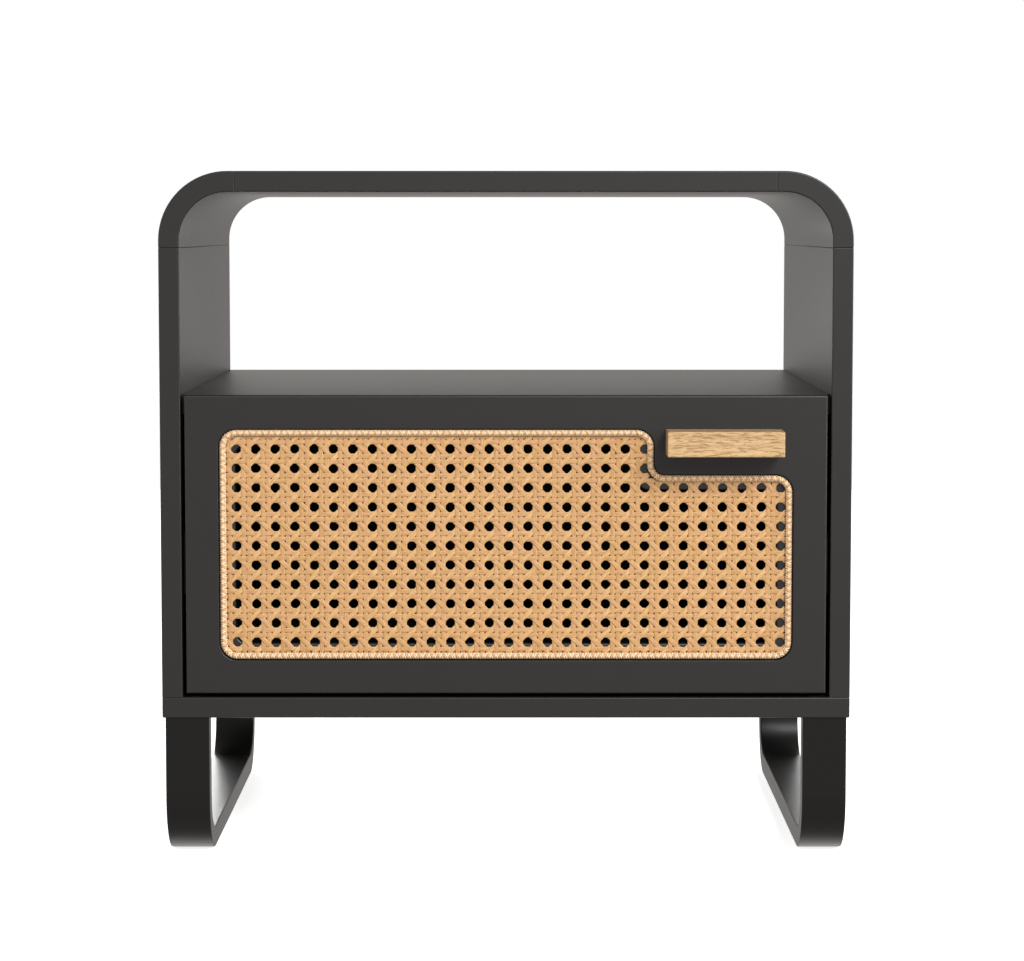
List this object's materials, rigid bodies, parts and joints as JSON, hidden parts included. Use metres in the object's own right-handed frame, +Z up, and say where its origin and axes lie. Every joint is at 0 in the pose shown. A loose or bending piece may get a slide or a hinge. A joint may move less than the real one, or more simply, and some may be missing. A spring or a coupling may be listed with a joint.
{
  "type": "nightstand",
  "caption": "Lacquered nightstand with rounded upper corners, an open niche, a cane-fronted drawer with an oak bar handle, and bent U-shaped legs.",
  "frame": {"origin": "on the floor, in the middle of the box round the whole piece with its handle", "axes": "+Z up, +X to the right for someone facing the drawer, +Y from the front to the back"},
  "size_m": [0.5, 0.43, 0.5],
  "materials": {
    "black_lacquer": "satin charcoal lacquer on board, with small rounded edges",
    "black_back_board": "matt black foil on thin fibreboard",
    "drawer_board": "matt black foil on board",
    "drawer_bottom_board": "matt black foil on thin board",
    "cane": "natural split cane, honey coloured, with lighter and darker strands",
    "cane_braid": "plaited split cane",
    "oak": "oiled light oak with open grain",
    "dowel_wood": "plain beech",
    "nylon": "black nylon",
    "cast_zinc": "cast zinc",
    "plated_steel": "zinc plated steel",
    "runner_steel": "rolled zinc plated sheet steel",
    "ball_steel": "hardened steel balls",
    "cage_plastic": "thin moulded strip"
  },
  "bodies": {
    "carcass": {"back_panel": "black_back_board", "bottom_panel": "black_lacquer", "corner_left": "black_lacquer", "corner_right": "black_lacquer", "leg_bolts": "plated_steel", "leg_dowels": "dowel_wood", "leg_glides": "nylon", "leg_inserts": "plated_steel", "leg_left": "black_lacquer", "leg_right": "black_lacquer", "shelf": "black_lacquer", "shelf_cam_bolts": "plated_steel", "shelf_cams": "cast_zinc", "shelf_dowels": "dowel_wood", "side_dowels": "dowel_wood", "side_left": "black_lacquer", "side_right": "black_lacquer", "side_screws": "plated_steel", "slide_cabinet_left": "runner_steel", "slide_cabinet_right": "runner_steel", "slide_cabinet_screws": "plated_steel", "top_dowels": "dowel_wood", "top_panel": "black_lacquer"},
    "drawer": {"drawer_front": "black_lacquer", "cane_panel": "cane", "cane_trim": "cane_braid", "drawer_handle": "oak", "handle_screws": "plated_steel", "handle_inserts": "plated_steel", "drawer_side_left": "drawer_board", "drawer_side_right": "drawer_board", "drawer_back": "drawer_board", "drawer_bottom": "drawer_bottom_board", "front_cams": "cast_zinc", "front_cam_bolts": "plated_steel", "front_dowels": "dowel_wood", "drawer_back_screws": "plated_steel", "slide_drawer_left": "runner_steel", "slide_drawer_right": "runner_steel", "slide_drawer_screws": "plated_steel"},
    "middle_runner_left": {"slide_middle_left": "runner_steel"},
    "outer_cage_left": {"slide_outer_cage_left": "cage_plastic", "slide_outer_balls_left": "ball_steel"},
    "inner_cage_left": {"slide_inner_cage_left": "cage_plastic", "slide_inner_balls_left": "ball_steel"},
    "middle_runner_right": {"slide_middle_right": "runner_steel"},
    "outer_cage_right": {"slide_outer_cage_right": "cage_plastic", "slide_outer_balls_right": "ball_steel"},
    "inner_cage_right": {"slide_inner_cage_right": "cage_plastic", "slide_inner_balls_right": "ball_steel"}
  },
  "joints": [
    {"name": "drawer_slide", "type": "slide", "parent": "carcass", "child": "drawer", "axis": [0, -1, 0], "range_m": [0, 0.35]},
    {"name": "middle_runner_left_slide", "type": "slide", "parent": "carcass", "child": "middle_runner_left", "axis": [0, -1, 0], "range_m": [0, 0.175]},
    {"name": "outer_cage_left_slide", "type": "slide", "parent": "carcass", "child": "outer_cage_left", "axis": [0, -1, 0], "range_m": [0, 0.0875]},
    {"name": "inner_cage_left_slide", "type": "slide", "parent": "carcass", "child": "inner_cage_left", "axis": [0, -1, 0], "range_m": [0, 0.2625]},
    {"name": "middle_runner_right_slide", "type": "slide", "parent": "carcass", "child": "middle_runner_right", "axis": [0, -1, 0], "range_m": [0, 0.175]},
    {"name": "outer_cage_right_slide", "type": "slide", "parent": "carcass", "child": "outer_cage_right", "axis": [0, -1, 0], "range_m": [0, 0.0875]},
    {"name": "inner_cage_right_slide", "type": "slide", "parent": "carcass", "child": "inner_cage_right", "axis": [0, -1, 0], "range_m": [0, 0.2625]}
  ],
  "couplings": [
    {"joint": "middle_runner_left_slide", "follows": "drawer_slide", "ratio": 0.5},
    {"joint": "outer_cage_left_slide", "follows": "drawer_slide", "ratio": 0.25},
    {"joint": "inner_cage_left_slide", "follows": "drawer_slide", "ratio": 0.75},
    {"joint": "middle_runner_right_slide", "follows": "drawer_slide", "ratio": 0.5},
    {"joint": "outer_cage_right_slide", "follows": "drawer_slide", "ratio": 0.25},
    {"joint": "inner_cage_right_slide", "follows": "drawer_slide", "ratio": 0.75}
  ]
}
